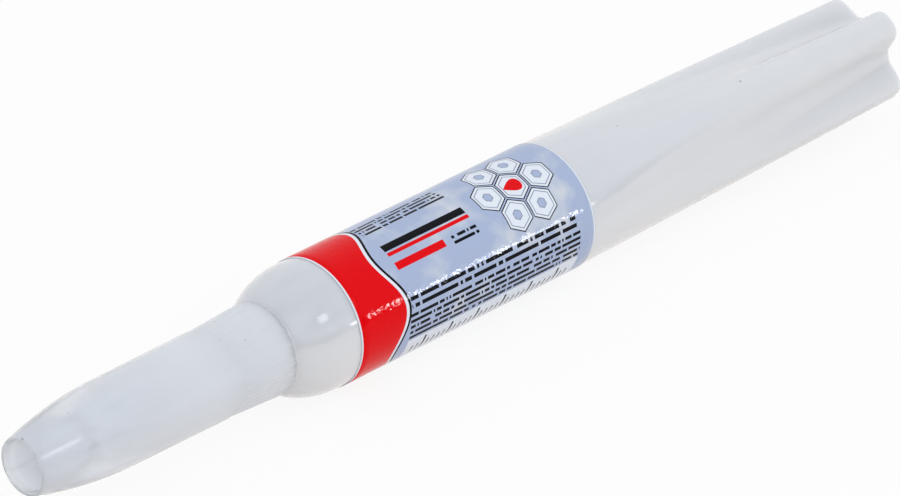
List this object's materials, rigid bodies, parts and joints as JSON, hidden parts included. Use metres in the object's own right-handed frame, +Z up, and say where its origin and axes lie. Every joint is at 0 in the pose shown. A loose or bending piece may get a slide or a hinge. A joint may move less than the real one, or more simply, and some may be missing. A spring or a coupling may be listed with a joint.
{
  "type": "super glue tube",
  "caption": "Pen-shaped super glue tube lying on its side: milky plastic bottle with a lobed tail, film label, dropper nozzle, and a long ribbed screw cap with a sealing pin.",
  "frame": {"origin": "centre of the bottom of the lying bottle, on the surface it lies on", "axes": "+X along the bottle's axis from the cap to the tail, +Y across it, +Z up"},
  "size_m": [0.1592, 0.0182, 0.0182],
  "materials": {
    "milky_polyethylene": "blow-moulded translucent polyethylene, satin gloss",
    "label_film": "printed polypropylene film, glossy, lavender blue-grey",
    "nozzle_polyethylene": "injection-moulded natural polyethylene",
    "cap_polypropylene": "injection-moulded natural polypropylene, translucent, glossy",
    "pin_steel": "drawn stainless steel wire",
    "clear_adhesive": "clear thin liquid"
  },
  "bodies": {
    "bottle": {"bottle": "milky_polyethylene", "label": "label_film", "nozzle": "nozzle_polyethylene", "adhesive": "clear_adhesive"},
    "pin": {"sealing_pin": "pin_steel"},
    "cap": {"cap": "cap_polypropylene"}
  },
  "joints": [
    {"name": "cap_lift", "type": "slide", "parent": "bottle", "child": "pin", "axis": [-1, 0, 0], "range_m": [0, 0.036]},
    {"name": "cap_turn", "type": "hinge", "parent": "pin", "child": "cap", "pos_m": [-0.0586, 0, 0.00908], "axis": [-1, 0, 0], "range_deg": [0, 2160]}
  ],
  "couplings": [
    {"joint": "cap_lift", "follows": "cap_turn", "m_per_rad": 0.00095493}
  ]
}
